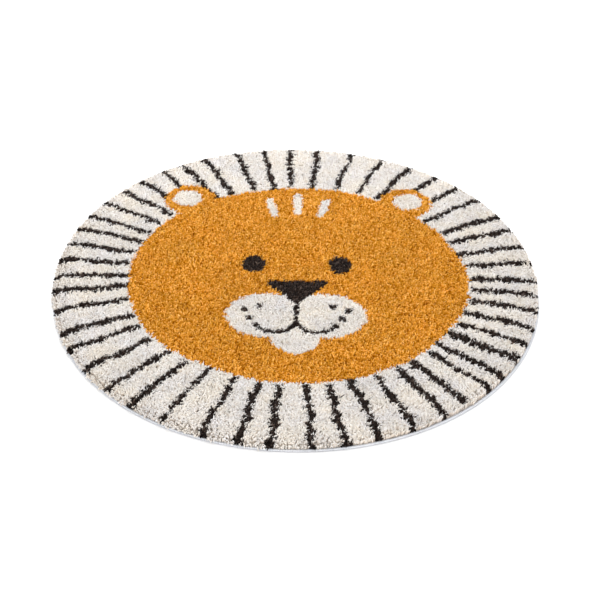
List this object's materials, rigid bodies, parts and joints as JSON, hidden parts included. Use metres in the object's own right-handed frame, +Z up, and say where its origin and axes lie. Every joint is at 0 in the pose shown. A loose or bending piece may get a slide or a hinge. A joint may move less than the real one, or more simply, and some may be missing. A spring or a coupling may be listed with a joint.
{
  "type": "round shaggy kids rug with a lion's face",
  "caption": "Round shaggy floor rug for a child's room, with a lion's face inside a ring of dark mane stripes on a cream ground and a whipped edge.",
  "frame": {"origin": "middle of the underside, on the floor, at the middle of the outline's box", "axes": "+Z up out of the pile; the lion's forehead towards +Y and its chin towards -Y, so it is upright to a person who stands at -Y"},
  "size_m": [1.196, 1.196, 0.022],
  "materials": {
    "pile": "matte",
    "binding": "matte"
  },
  "bodies": {
    "root": {"rug_body": "pile", "edge_binding": "binding"}
  },
  "joints": []
}
